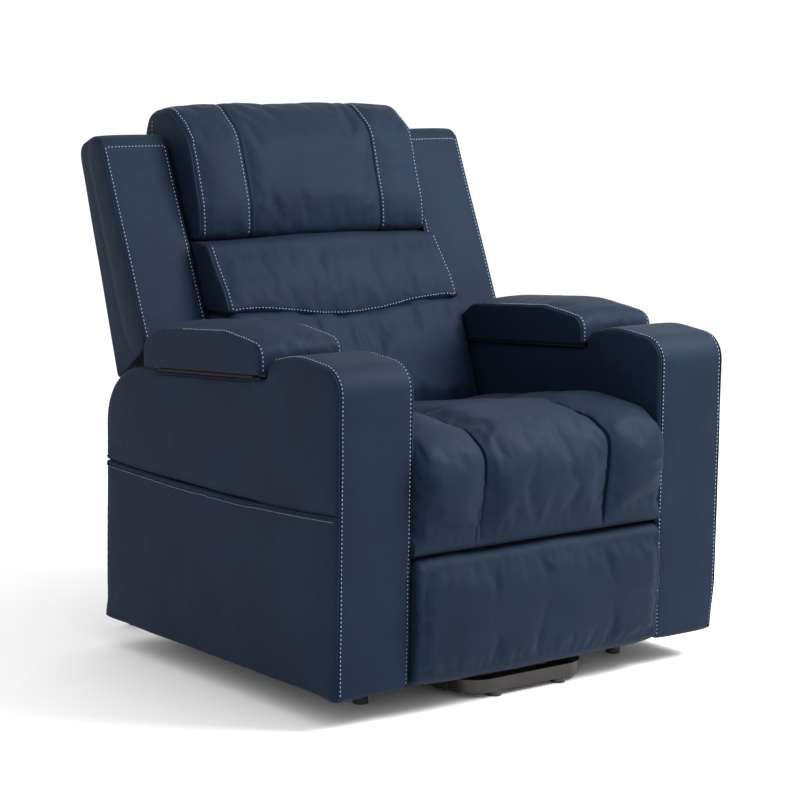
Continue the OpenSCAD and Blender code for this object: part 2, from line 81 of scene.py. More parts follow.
def add_camera():
    """Camera at the viewing angle: front left of the chair, a little above the arms."""
    yaw, pitch, roll = math.radians(38.7), math.radians(9.0), math.radians(1.0)
    ahead = Vector((math.sin(yaw) * math.cos(pitch), math.cos(yaw) * math.cos(pitch), -math.sin(pitch)))
    across = ahead.cross(Vector((0, 0, 1))).normalized()
    above = across.cross(ahead)
    right = across * math.cos(roll) + above * math.sin(roll)
    up = above * math.cos(roll) - across * math.sin(roll)
    data = bpy.data.cameras.new("camera")
    data.lens = 112.3
    data.sensor_width = 36
    camera = bpy.data.objects.new("camera", data)
    camera.matrix_world = Matrix((
        (right.x, up.x, -ahead.x, CAMERA_PLACE[0]),
        (right.y, up.y, -ahead.y, CAMERA_PLACE[1]),
        (right.z, up.z, -ahead.z, CAMERA_PLACE[2]),
        (0, 0, 0, 1)))
    bpy.context.scene.collection.objects.link(camera)
    bpy.context.scene.camera = camera


def area_light(name, place, target, size, power, tint=(1, 1, 1)):
    data = bpy.data.lights.new(name, "AREA")
    data.shape = "RECTANGLE"
    data.size, data.size_y = size
    data.energy = power
    data.color = tint
    light = bpy.data.objects.new(name, data)
    light.location = place
    light.rotation_euler = (Vector(target) - Vector(place)).to_track_quat("-Z", "Y").to_euler()
    bpy.context.scene.collection.objects.link(light)


def add_studio():
    bpy.context.scene.view_settings.view_transform = "Standard"
    area_light("key", (1.25, -1.3, 2.0), (0, 0.05, 0.75), (1.4, 1.2), 105)
    area_light("top", (0.4, -0.1, 3.1), (0, 0, 0.5), (2.0, 2.0), 8)
    world = bpy.data.worlds.new("studio")
    world.use_nodes = True
    background = world.node_tree.nodes["Background"]
    background.inputs["Color"].default_value = (1, 1, 1, 1)
    background.inputs["Strength"].default_value = 1.12
    bpy.context.scene.world = world

    size = 40
    mesh = bpy.data.meshes.new("floor")
    corners = [(-size, -size, 0), (size, -size, 0), (size, size, 0), (-size, size, 0)]
    mesh.from_pydata(corners, [], [(0, 1, 2, 3)])
    floor = bpy.data.objects.new("floor", mesh)
    bpy.context.scene.collection.objects.link(floor)
    floor.data.materials.append(plain_material("floor_paint", (0.97, 0.97, 0.97), 0.9, 0.03))


# ---------------------------------------------------------------- materials

def new_material(name):
    material = bpy.data.materials.new(name)
    material.use_nodes = True
    return material, material.node_tree, material.node_tree.nodes["Principled BSDF"]


def noise_node(tree, scale, detail, source, roughness=0.5):
    node = tree.nodes.new("ShaderNodeTexNoise")
    node.inputs["Scale"].default_value = scale
    node.inputs["Detail"].default_value = detail
    node.inputs["Roughness"].default_value = roughness
    tree.links.new(source, node.inputs["Vector"])
    return node.outputs["Fac"]


def ramp_node(tree, value, low, high, colour_a, colour_b):
    node = tree.nodes.new("ShaderNodeValToRGB")
    node.color_ramp.elements[0].position = low
    node.color_ramp.elements[1].position = high
    node.color_ramp.elements[0].color = (*colour_a, 1)
    node.color_ramp.elements[1].color = (*colour_b, 1)
    tree.links.new(value, node.inputs["Fac"])
    return node.outputs["Color"]


def bump_node(tree, height, strength, distance, previous=None):
    node = tree.nodes.new("ShaderNodeBump")
    node.inputs["Strength"].default_value = strength
    node.inputs["Distance"].default_value = distance
    tree.links.new(height, node.inputs["Height"])
    if previous is not None:
        tree.links.new(previous, node.inputs["Normal"])
    return node.outputs["Normal"]


def map_range(tree, value, low, high):
    node = tree.nodes.new("ShaderNodeMapRange")
    node.inputs["To Min"].default_value = low
    node.inputs["To Max"].default_value = high
    tree.links.new(value, node.inputs["Value"])
    return node.outputs["Result"]


def plain_material(name, colour, roughness, variation):
    """Painted or moulded surface with a faint unevenness in colour and gloss."""
    material, tree, shader = new_material(name)
    place = tree.nodes.new("ShaderNodeTexCoord").outputs["Object"]
    cloud = noise_node(tree, 9, 4, place)
    dark = [c * (1 - 0.25 * variation) for c in colour]
    light = [min(1, c * (1 + 0.25 * variation)) for c in colour]
    tree.links.new(ramp_node(tree, cloud, 0.3, 0.7, dark, light), shader.inputs["Base Color"])
    tree.links.new(map_range(tree, cloud, roughness - 0.06, roughness + 0.06), shader.inputs["Roughness"])
    return material


def upholstery_material(name, colour, nap=1.0):
    """Suede-like woven upholstery: cloudy nap, fine pebble grain and a soft sheen."""
    material, tree, shader = new_material(name)
    place = tree.nodes.new("ShaderNodeTexCoord").outputs["Object"]
    cloud = noise_node(tree, 7, 5, place, 0.6)
    mottle = noise_node(tree, 95, 4, place, 0.65)
    mixed = tree.nodes.new("ShaderNodeMath")
    mixed.operation = "MULTIPLY_ADD"
    mixed.inputs[1].default_value = 0.45
    tree.links.new(mottle, mixed.inputs[0])
    tree.links.new(cloud, mixed.inputs[2])
    dark = [c * (1 - 0.20 * nap) for c in colour]
    light = [c * (1 + 0.24 * nap) for c in colour]
    tree.links.new(ramp_node(tree, mixed.outputs[0], 0.5, 0.95, dark, light), shader.inputs["Base Color"])
    tree.links.new(map_range(tree, mottle, 0.56, 0.74), shader.inputs["Roughness"])
    shader.inputs["Specular IOR Level"].default_value = 0.13
    shader.inputs["Specular Tint"].default_value = (0.66, 0.77, 1.0, 1)
    shader.inputs["Sheen Weight"].default_value = 0.02
    shader.inputs["Sheen Roughness"].default_value = 0.4
    shader.inputs["Sheen Tint"].default_value = (0.62, 0.72, 0.9, 1)
    pebble = tree.nodes.new("ShaderNodeTexVoronoi")
    pebble.inputs["Scale"].default_value = 520
    tree.links.new(place, pebble.inputs["Vector"])
    grain = bump_node(tree, pebble.outputs["Distance"], 0.35, 0.0006)
    weave = bump_node(tree, noise_node(tree, 1500, 2, place), 0.25, 0.0003, grain)
    folds = bump_node(tree, noise_node(tree, 38, 3, place, 0.55), 0.22, 0.003, weave)
    tree.links.new(folds, shader.inputs["Normal"])
    return material


def thread_material(name, colour):
    material, tree, shader = new_material(name)
    place = tree.nodes.new("ShaderNodeTexCoord").outputs["Object"]
    twist = noise_node(tree, 1800, 2, place)
    dark = [c * 0.75 for c in colour]
    tree.links.new(ramp_node(tree, twist, 0.35, 0.65, dark, colour), shader.inputs["Base Color"])
    shader.inputs["Roughness"].default_value = 0.6
    tree.links.new(bump_node(tree, twist, 0.5, 0.0003), shader.inputs["Normal"])
    return material


def metal_material(name, colour, metallic, roughness):
    """Coated or plated steel with fine scratches and slight wear."""
    material, tree, shader = new_material(name)
    place = tree.nodes.new("ShaderNodeTexCoord").outputs["Object"]
    wear = noise_node(tree, 30, 5, place)
    grain = noise_node(tree, 700, 2, place)
    worn = [min(1, c * 1.5 + 0.01) for c in colour]
    tree.links.new(ramp_node(tree, wear, 0.45, 0.8, colour, worn), shader.inputs["Base Color"])
    tree.links.new(map_range(tree, wear, roughness - 0.08, roughness + 0.1), shader.inputs["Roughness"])
    shader.inputs["Metallic"].default_value = metallic
    tree.links.new(bump_node(tree, grain, 0.2, 0.0002), shader.inputs["Normal"])
    return material


def plastic_material(name, colour, roughness):
    material, tree, shader = new_material(name)
    place = tree.nodes.new("ShaderNodeTexCoord").outputs["Object"]
    cloud = noise_node(tree, 25, 3, place)
    light = [min(1, c * 1.25 + 0.003) for c in colour]
    tree.links.new(ramp_node(tree, cloud, 0.35, 0.75, colour, light), shader.inputs["Base Color"])
    tree.links.new(map_range(tree, cloud, roughness - 0.05, roughness + 0.07), shader.inputs["Roughness"])
    tree.links.new(bump_node(tree, noise_node(tree, 900, 2, place), 0.3, 0.0003), shader.inputs["Normal"])
    return material


def wood_material(name, colour):
    material, tree, shader = new_material(name)
    place = tree.nodes.new("ShaderNodeTexCoord").outputs["Object"]
    stretch = tree.nodes.new("ShaderNodeMapping")
    stretch.inputs["Scale"].default_value = (40, 3, 40)
    tree.links.new(place, stretch.inputs["Vector"])
    grain = noise_node(tree, 2.2, 6, stretch.outputs["Vector"], 0.6)
    dark = [c * 0.62 for c in colour]
    tree.links.new(ramp_node(tree, grain, 0.35, 0.68, dark, colour), shader.inputs["Base Color"])
    shader.inputs["Roughness"].default_value = 0.68
    tree.links.new(bump_node(tree, grain, 0.25, 0.0005), shader.inputs["Normal"])
    return material


def gap_shade_material():
    """The lid boards and hinges in painted shade: near-black stained wood, and matt blackened steel along the
    outer edge, so that the gap under each lid reads as a dark shadow line.
    """
    # Near-black wood colour: painted shade for the dark gap under the lid, not the board's own colour.
    material = wood_material("lid_board", (0.010, 0.009, 0.009))
    tree = material.node_tree
    output = tree.nodes["Material Output"]
    # Matt black steel on the hinge knuckles: painted shade along the lid's outer edge.
    blackened_hinge_shade = tree.nodes.new("ShaderNodeBsdfPrincipled")
    blackened_hinge_shade.inputs["Base Color"].default_value = (0.012, 0.008, 0.007, 1)
    blackened_hinge_shade.inputs["Specular IOR Level"].default_value = 0.12
    blackened_hinge_shade.inputs["Roughness"].default_value = 0.6
    place = tree.nodes.new("ShaderNodeSeparateXYZ")
    tree.links.new(tree.nodes.new("ShaderNodeTexCoord").outputs["Object"], place.inputs["Vector"])
    outward = tree.nodes.new("ShaderNodeMath")
    outward.operation = "ABSOLUTE"
    tree.links.new(place.outputs["X"], outward.inputs[0])
    # Mask of the hinge knuckles along the outer edge, where the painted shade goes.
    hinge_shade_mask = tree.nodes.new("ShaderNodeMath")
    hinge_shade_mask.operation = "GREATER_THAN"
    hinge_shade_mask.inputs[1].default_value = (ARM_OUT - 4.2) * MM
    tree.links.new(outward.outputs[0], hinge_shade_mask.inputs[0])
    mix = tree.nodes.new("ShaderNodeMixShader")
    tree.links.new(hinge_shade_mask.outputs[0], mix.inputs["Fac"])
    tree.links.new(tree.nodes["Principled BSDF"].outputs["BSDF"], mix.inputs[1])
    tree.links.new(blackened_hinge_shade.outputs["BSDF"], mix.inputs[2])
    tree.links.new(mix.outputs["Shader"], output.inputs["Surface"])
    return material


NAVY = (0.0044, 0.0094, 0.0215)
MATERIALS = {
    "upholstery": upholstery_material("upholstery", NAVY),
    "back_cloth": upholstery_material("back_cloth", tuple(c * 0.85 for c in NAVY), 0.6),
    "dark_steel": metal_material("dark_steel", (0.012, 0.008, 0.007), 0.25, 0.3),
    "bright_steel": metal_material("bright_steel", (0.5, 0.51, 0.53), 1.0, 0.32),
    "black_plastic": plastic_material("black_plastic", (0.010, 0.009, 0.009), 0.5),
    "button_plastic": plastic_material("button_plastic", (0.5, 0.52, 0.56), 0.4),
    "plywood": wood_material("plywood", (0.42, 0.27, 0.14)),
}
# Near-black material for the lid boards and hinges: painted shade in the gap under the lids.
GAP_SHADE = gap_shade_material()
THREAD = thread_material("thread", (0.28, 0.35, 0.47))


# ---------------------------------------------------------------- outlines

def rounded(corners, steps=9):
    """Closed [y, z] outline in metres from corners [y, z, radius] in millimetres."""
    points = []
    count = len(corners)
    for i, (y, z, radius) in enumerate(corners):
        b = np.array((y, z), float)
        a = np.array(corners[i - 1][:2], float)
        c = np.array(corners[(i + 1) % count][:2], float)
        if radius == 0:
            points.append(b)
            continue
        u, v = (a - b) / np.linalg.norm(a - b), (c - b) / np.linalg.norm(c - b)
        half = math.acos(float(np.clip(u @ v, -1, 1))) / 2
        mid = b + (u + v) / np.linalg.norm(u + v) * radius / math.sin(half)
        start, end = b + u * radius / math.tan(half) - mid, b + v * radius / math.tan(half) - mid
        a0 = math.atan2(start[1], start[0])
        turn = (math.atan2(end[1], end[0]) - a0 + math.pi) % (2 * math.pi) - math.pi
        for k in range(steps + 1):
            angle = a0 + turn * k / steps
            points.append(mid + radius * np.array((math.cos(angle), math.sin(angle))))
    return np.array(points) * MM


def resample(points, step):
    """The same closed outline with even spacing."""
    closed = np.vstack([points, points[:1]])
    length = np.concatenate([[0], np.cumsum(np.linalg.norm(np.diff(closed, axis=0), axis=1))])
    count = max(12, int(round(length[-1] / step)))
    at = np.linspace(0, length[-1], count, endpoint=False)
    return np.stack([np.interp(at, length, closed[:, k]) for k in (0, 1)], axis=1), at


def inward(points):
    """Inward unit normals of a closed outline."""
    ahead = np.roll(points, -1, axis=0) - np.roll(points, 1, axis=0)
    ahead /= np.linalg.norm(ahead, axis=1)[:, None]
    left = np.stack([-ahead[:, 1], ahead[:, 0]], axis=1)
    y, z = points[:, 0], points[:, 1]
    area = np.sum(y * np.roll(z, -1) - np.roll(y, -1) * z)
    return left if area > 0 else -left


def smooth(value, low, high):
    t = np.clip((np.asarray(value, float) - low) / (high - low), 0, 1)
    return t * t * (3 - 2 * t)


def waves(u, v, scale, seed, count=14):
    """Smooth unevenness between about -1 and 1; scale is the size of a bump."""
    rng = np.random.default_rng(seed)
    total = np.zeros(np.broadcast(u, v).shape)
    for _ in range(count):
        angle, phase = rng.uniform(0, math.pi), rng.uniform(0, 2 * math.pi)
        pitch = scale * rng.uniform(0.7, 1.8)
        total = total + np.sin((u * math.cos(angle) + v * math.sin(angle)) * 2 * math.pi / pitch + phase)
    return total / math.sqrt(count)


# ---------------------------------------------------------------- mesh building

def inside(points, outline):
    """Which points lie inside a closed outline."""
    y, z = points[:, 0][:, None], points[:, 1][:, None]
    y1, z1 = outline[:, 0][None], outline[:, 1][None]
    y2, z2 = np.roll(outline, -1, axis=0)[:, 0][None], np.roll(outline, -1, axis=0)[:, 1][None]
    crosses = ((z1 > z) != (z2 > z)) & (y < (y2 - y1) * (z - z1) / (z2 - z1 + 1e-12) + y1)
    return crosses.sum(axis=1) % 2 == 1


def cap(ring, step):
    """Triangles over a closed ring, with an even grid of new points inside it."""
    low, high = ring.min(axis=0), ring.max(axis=0)
    ys = np.arange(low[0], high[0], step)
    zs = np.arange(low[1], high[1], step * 0.87)
    grid = np.array([(y + (row % 2) * step / 2, z) for row, z in enumerate(zs) for y in ys])
    grid = grid[inside(grid, ring)]
    gap = np.min(np.linalg.norm(grid[:, None] - ring[None], axis=2), axis=1)
    grid = grid[gap > 0.6 * step]
    points = [Vector(p) for p in np.vstack([ring, grid])]
    count = len(ring)
    edges = [(i, (i + 1) % count) for i in range(count)]
    verts, _, faces, origin, _, _ = geometry.delaunay_2d_cdt(points, edges, [], 1, 1e-7)
    remap = [o[0] if o else None for o in origin]
    faces = [[remap[i] for i in f] for f in faces if all(remap[i] is not None for i in f)]
    extra = np.vstack([ring, grid])[count:]
    depth = np.min(np.linalg.norm(extra[:, None] - ring[None], axis=2), axis=1) if len(extra) else np.zeros(0)
    return extra, faces, depth


def mesh_object(name, verts, faces):
    mesh = bpy.data.meshes.new(name)
    mesh.from_pydata([tuple(v) for v in verts], [], faces)
    mesh.validate()
    mesh.update()
    mesh.polygons.foreach_set("use_smooth", [True] * len(mesh.polygons))
    obj = bpy.data.objects.new(name, mesh)
    bpy.context.scene.collection.objects.link(obj)
    return obj


EDGE_STOPS = (0, 0.4, 1.2, 2.5, 4.5, 7, 10, 14)


def across(x0, x1, step, seams=()):
    """Places of the rings from x0 to x1 in millimetres, close together at both ends and at the seams."""
    inner = EDGE_STOPS[-1] + step / 2
    plain = list(np.linspace(x0 + inner, x1 - inner, max(2, int((x1 - x0 - 2 * inner) / step) + 1)))
    for s in seams:
        plain = [x for x in plain if abs(x - s) > 10]
        plain += [s + d for d in (-8, -4.5, -2, 0, 2, 4.5, 8)]
    ends = [x0 + d for d in EDGE_STOPS] + [x1 - d for d in EDGE_STOPS]
    return np.array(sorted(plain + ends))


def edge(x, x0, x1, r):
    """Inset that rounds both ends with radius r."""
    t = np.clip(r - np.minimum(x - x0, x1 - x), 0, r)
    return r - np.sqrt(np.clip(np.square(r) - t * t, 0, None))


def groove(distance, depth, width):
    """Sewn line: inset that is depth at the line and fades within about twice the width."""
    return depth * np.exp(-(distance / width) ** 2)


def prism(name, outline, xs, relief=None, step=6, caps=(0, 0), side=1, grid=9, warp=None):
    """A soft extrusion of a side outline along x. xs are the rings, relief(x, y, z, s) is the inset in
    millimetres of every ring and outline point, caps are the crowns of the two ends, warp(x, y, z) moves the
    finished points in millimetres, and side -1 mirrors it to -X."""
    points, at = resample(outline, step * MM)
    normal = inward(points)
    count, rows = len(points), len(xs)
    inset = np.zeros((rows, count))
    if relief is not None:
        inset = inset + relief(xs[:, None], points[None, :, 0] / MM, points[None, :, 1] / MM, at[None] / MM)
    flat = points[None] + normal[None] * (inset * MM)[:, :, None]
    verts = np.zeros((rows, count, 3))
    verts[:, :, 0] = xs[:, None] * MM
    verts[:, :, 1:] = flat
    faces = []
    for k in range(rows - 1):
        a, b = k * count, (k + 1) * count
        faces += [(a + j, a + (j + 1) % count, b + (j + 1) % count, b + j) for j in range(count)]
    verts = verts.reshape(-1, 3)
    for ring_at, crown in ((0, -caps[0]), (rows - 1, caps[1])):
        ring = flat[ring_at]
        extra, triangles, depth = cap(ring, grid * MM)
        bulge = crown * MM * (1 - np.exp(-depth / 0.035))
        base = len(verts)
        if len(extra):
            verts = np.vstack([verts, np.column_stack([xs[ring_at] * MM + bulge, extra])])
        faces += [[ring_at * count + i if i < count else base + i - count for i in t] for t in triangles]
    if warp is not None:
        verts = np.column_stack(warp(*(verts / MM).T)) * MM
    verts[:, 1] += FRONT
    verts[:, 0] *= side
    obj = mesh_object(name, verts, faces)
    fix_normals(obj)
    return obj


def coords(obj):
    co = np.zeros(len(obj.data.vertices) * 3)
    obj.data.vertices.foreach_get("co", co)
    return co.reshape(-1, 3)


def set_coords(obj, co):
    obj.data.vertices.foreach_set("co", np.ascontiguousarray(co, dtype=float).reshape(-1))
    obj.data.update()


def press(obj, depth):
    """Presses the surface in along its normals; depth(x, y, z) is in millimetres, x counted outward."""
    co = coords(obj)
    normals = np.zeros(len(co) * 3)
    obj.data.vertex_normals.foreach_get("vector", normals)
    x, y, z = co[:, 0] / MM, (co[:, 1] - FRONT) / MM, co[:, 2] / MM
    set_coords(obj, co - normals.reshape(-1, 3) * (depth(x, y, z) * MM)[:, None])


def fix_normals(obj):
    bm = bmesh.new()
    bm.from_mesh(obj.data)
    bmesh.ops.recalc_face_normals(bm, faces=bm.faces)
    bm.to_mesh(obj.data)
    bm.free()


def subdivide(obj, levels=1):
    modifier = obj.modifiers.new("round", "SUBSURF")
    modifier.levels = modifier.render_levels = levels
    apply_modifiers(obj)


def apply_modifiers(obj):
    graph = bpy.context.evaluated_depsgraph_get()
    mesh = bpy.data.meshes.new_from_object(obj.evaluated_get(graph))
    old = obj.data
    obj.modifiers.clear()
    obj.data = mesh
    mesh.name = obj.name
    bpy.data.meshes.remove(old)
    mesh.polygons.foreach_set("use_smooth", [True] * len(mesh.polygons))


# Pads waiting for the cloth simulation, and the sewing that follows it.
PADS = []
AFTER = []


def stuff(obj, free, limit, pressure=4.0, slack=0.012):
    """Queues a pad for the cloth simulation. free(x, y, z) is 1 where the cover may move and 0 where it is sewn
    or rests on the frame, and limit is how far it may move, in millimetres."""
    PADS.append((obj, free, limit, pressure, slack))


def inflate_pads():
    """Runs the cloth simulation of every queued pad together and keeps the result in their meshes."""
    scene = bpy.context.scene
    scene.frame_start, scene.frame_end = 1, LAST_FRAME
    before = {}
    for obj, free, _, pressure, slack in PADS:
        co = coords(obj)
        before[obj.name] = co
        weight = 1 - np.clip(free(np.abs(co[:, 0]) / MM, (co[:, 1] - FRONT) / MM, co[:, 2] / MM), 0, 1)
        group = obj.vertex_groups.new(name="sewn")
        for level in range(1, 11):
            chosen = np.nonzero(np.round(weight * 10) == level)[0]
            if len(chosen):
                group.add(chosen.tolist(), level / 10, "REPLACE")
        cloth = obj.modifiers.new("cloth", "CLOTH")
        settings = cloth.settings
        settings.quality = 5
        settings.mass = 0.3
        settings.tension_stiffness = settings.compression_stiffness = 12
        settings.shear_stiffness = 5
        settings.bending_stiffness = 0.6
        settings.use_pressure = True
        settings.uniform_pressure_force = pressure
        settings.shrink_min = -slack
        settings.effector_weights.gravity = 0
        settings.vertex_group_mass = "sewn"
        settings.pin_stiffness = 1.0
        cloth.collision_settings.use_collision = False
        cloth.collision_settings.use_self_collision = False
        cloth.point_cache.frame_start, cloth.point_cache.frame_end = 1, LAST_FRAME
    for step in range(1, LAST_FRAME + 1):
        scene.frame_set(step)
    for obj, _, limit, _, _ in PADS:
        apply_modifiers(obj)
        obj.vertex_groups.clear()
        move = coords(obj) - before[obj.name]
        far = np.linalg.norm(move, axis=1)[:, None] + 1e-9
        set_coords(obj, before[obj.name] + move * np.minimum(1, limit * MM / far))
    scene.frame_set(1)


def dress(obj, body, slot, *nodes, pad=None):
    """Material, body, slot and the CAD nodes that the piece stands for."""
    obj.data.materials.clear()
    obj.data.materials.append(MATERIALS[slot])
    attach(obj, body)
    if nodes:
        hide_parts(*nodes)
    return obj


# ---------------------------------------------------------------- stitches and seams

def path_at(outline, x, keep, step=4):
    """World points along a side outline at x, where keep(y, z) holds, as one run."""
    points, _ = resample(outline, step * MM)
    chosen = np.array([bool(keep(y / MM, z / MM)) for y, z in points])
    if not chosen.all():
        start = int(np.argmax(~chosen))
        points, chosen = np.roll(points, -start, axis=0), np.roll(chosen, -start)
    points = points[chosen]
    return [Vector((x * MM, y + FRONT, z)) for y, z in points]


def surface(obj):
    verts = [v.co.copy() for v in obj.data.vertices]
    return BVHTree.FromPolygons(verts, [tuple(p.vertices) for p in obj.data.polygons])


def spaced(path, pitch):
    """Centres and directions every pitch metres along a polyline."""
    pts = np.array([tuple(p) for p in path])
    length = np.concatenate([[0], np.cumsum(np.linalg.norm(np.diff(pts, axis=0), axis=1))])
    at = np.arange(pitch / 2, length[-1], pitch)
    centre = np.stack([np.interp(at, length, pts[:, k]) for k in range(3)], axis=1)
    before = np.stack([np.interp(at - pitch * 0.3, length, pts[:, k]) for k in range(3)], axis=1)
    after = np.stack([np.interp(at + pitch * 0.3, length, pts[:, k]) for k in range(3)], axis=1)
    return centre, after - before


STITCH_RING = [(math.cos(a), math.sin(a)) for a in np.linspace(0, 2 * math.pi, 6, endpoint=False)]


def stitches(name, body, jobs, pitch=7.6, length=3.6, thick=1.8):
    """Rows of thread stitches that lie in the surface. jobs are (piece, path) pairs."""
    verts, faces, trees = [], [], {}
    for piece, path in jobs:
        tree = trees.setdefault(piece.name, None) or surface(piece)
        trees[piece.name] = tree
        centres, ways = spaced(path, pitch * MM)
        for centre, way in zip(centres, ways):
            spot, normal, _, gap = tree.find_nearest(Vector(centre))
            if spot is None or gap > 0.03:
                continue
            along = Vector(way)
            along -= normal * along.dot(normal)
            if along.length < 1e-9:
                continue
            along.normalize()
            beside = normal.cross(along)
            middle = spot + normal * thick * 0.1 * MM
            base = len(verts)
            for t, r in ((-0.5, 0.35), (-0.32, 0.9), (0.32, 0.9), (0.5, 0.35)):
                ring = middle + along * (t * length * MM) - normal * (abs(t) ** 3 * 2.2 * thick * MM)
                verts += [ring + (beside * c + normal * s) * (r * thick / 2 * MM) for c, s in STITCH_RING]
            for k in range(3):
                a, b = base + 6 * k, base + 6 * (k + 1)
                faces += [(a + j, a + (j + 1) % 6, b + (j + 1) % 6, b + j) for j in range(6)]
            faces += [tuple(base + j for j in range(5, -1, -1)), tuple(base + 18 + j for j in range(6))]
    obj = mesh_object(name, verts, faces)
    obj.data.materials.append(THREAD)
    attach(obj, body)
    return obj


# ---------------------------------------------------------------- arms

HUMP = [(6, 625, 50), (137, 637, 190), (208, 619, 20)]
SHOULDER = (ARM_REAR_Y, 546.5, 115)
STRIP, REAR_STRIP = 25, 20
SKIN, GAP = 3.5, 1.3


def shelf(y):
    return SHELF_Z - (y - SHELF_Y) * math.tan(SHELF_TILT)


def arm_outline(drop=0.0):
    return rounded([(2, HEM, 3), *HUMP, (SHELF_Y, SHELF_Z - drop, 5), (600, shelf(600) - drop, 0),
                    SHOULDER, (ARM_REAR_Y, HEM, 6)])


def side_relief(x0, x1, seed):
    """Crisp edges where the side meets the front strip and softer ones behind; a slightly uneven face."""
    def relief(x, y, z, s):
        radius = 2.5 + 5.5 * smooth(y, SHELF_Y, SHELF_Y + 60) * smooth(z, HEM + 10, HEM + 40)
        return edge(x, x0 - 20, x1, radius) - 0.5 * waves(s, x, 170, seed)
    return relief


def hem_pull(x, y, z, side):
    """The hem is drawn in below the left arm and stands out a little at the right arm's front corner."""
    low = smooth(HEM + 100 - z, 0, 100)
    outer = smooth(x, ARM_OUT - 70, ARM_OUT)
    if side > 0:
        return x - 9 * low * outer, y, z
    corner = smooth(HEM + 50 - z, 0, 50) * smooth(70 - y, 0, 70)
    return x + 2.5 * corner * outer, y, z - 3 * corner * outer


def inner_bulge(x, y, z):
    """The inner side swells towards the seat above the footrest."""
    swell = np.interp(z, (54, 140, 280, 330, 560, 630), (2, 4, 4, 7, 7, 5))
    return x - swell * (1 - smooth(x, ARM_IN, ARM_IN + 70)) * (1 - 0.6 * smooth(y, 60, 260))


def thin_front(x, y, z):
    """The side cover is only a skin beside the front strip."""
    step_face = (y > SHELF_Y - STRIP) & (y < SHELF_Y) & (z > 560)
    beside = (y < STRIP + 2.5) | ((y < SHELF_Y) & (z > 600)) | step_face
    return np.where(beside, np.maximum(x, ARM_OUT - SKIN), x), y, z


def thin_front_inner(x, y, z):
    mirrored, _, _ = thin_front(ARM_IN + ARM_OUT - x, y, z)
    return ARM_IN + ARM_OUT - mirrored, y, z


def crown(x, y, z, s):
    """The strips are softly padded between their seams."""
    u = (x - (ARM_IN + ARM_OUT) / 2) / ((ARM_OUT - ARM_IN) / 2)
    corner = edge(x, ARM_IN + SKIN + GAP, ARM_OUT - SKIN - GAP, 2.5)
    return corner - 2.2 * (1 - u ** 4) - 0.4 * waves(s, x, 130, 11)


def build_arm(side, tag):
    body = "chair"
    whole = arm_outline(1.0)
    inner_relief = side_relief(-ARM_IN - PANEL, -ARM_IN, 3)

    def inner_warp(x, y, z):
        x, y, z = thin_front_inner(x, y, z)
        return inner_bulge(x, y, z), y, z

    def outer_warp(x, y, z):
        return hem_pull(*thin_front(x, y, z), side)

    def strip_warp(x, y, z):
        return hem_pull(inner_bulge(x, y, z), y, z, side)

    inner_piece = prism("arm_inner_" + tag, whole, across(ARM_IN, ARM_IN + PANEL, 5)[:-7],
                        lambda x, y, z, s: inner_relief(-x, y, z, s), caps=(6, 0), side=side, warp=inner_warp)
    subdivide(inner_piece)
    dress(inner_piece, body, "upholstery", "arm_inner_" + tag)

    outer = across(ARM_OUT - PANEL, ARM_OUT, 5)[7:]
    outer_relief = side_relief(ARM_OUT - PANEL, ARM_OUT, 5)
    if tag == "left":
        outer_piece = prism("arm_outer_" + tag, whole, outer, outer_relief, caps=(0, 5), side=side,
                            warp=outer_warp)
        subdivide(outer_piece)
        dress(outer_piece, body, "upholstery", "arm_outer_" + tag)
    else:
        build_pocket_side(side, outer, outer_relief, outer_warp)

    t = STRIP
    strip = rounded([(2, HEM, 3), *HUMP, (SHELF_Y, SHELF_Z, 4), (SHELF_Y, 560, 0), (SHELF_Y - t, 560, 0),
                     (SHELF_Y - t, 601, 8), (137, 637 - t, 150), (32, 601, 24), (2 + t, HEM, 3)])
    front_piece = prism("arm_front_" + tag, strip, across(ARM_IN + SKIN + GAP, ARM_OUT - SKIN - GAP, 9),
                        crown, side=side, grid=14, warp=strip_warp)
    subdivide(front_piece)
    dress(front_piece, body, "upholstery", "arm_front_" + tag)

    t = REAR_STRIP
    rear = rounded([(562, shelf(562), 2), SHOULDER, (ARM_REAR_Y, HEM, 4), (ARM_REAR_Y - t, HEM, 4),
                    (ARM_REAR_Y - t, SHOULDER[1] - t + 1, 95), (562, shelf(562) - t, 2)])
    rear_piece = prism("arm_rear_" + tag, rear, across(ARM_IN + PANEL, ARM_OUT - PANEL, 9), crown, side=side,
                       grid=14)
    subdivide(rear_piece)
    dress(rear_piece, body, "upholstery", "arm_rear_" + tag)

    full = arm_outline()
    front_run = lambda y, z: (y < 60 and z > HEM + 6) or (z > 590 and y < 203)
    rows = [(front_piece, path_at(full, side * x, front_run)) for x in (ARM_IN + 1, ARM_OUT - 8.5)]
    stitches("stitches_arm_" + tag, body, rows)


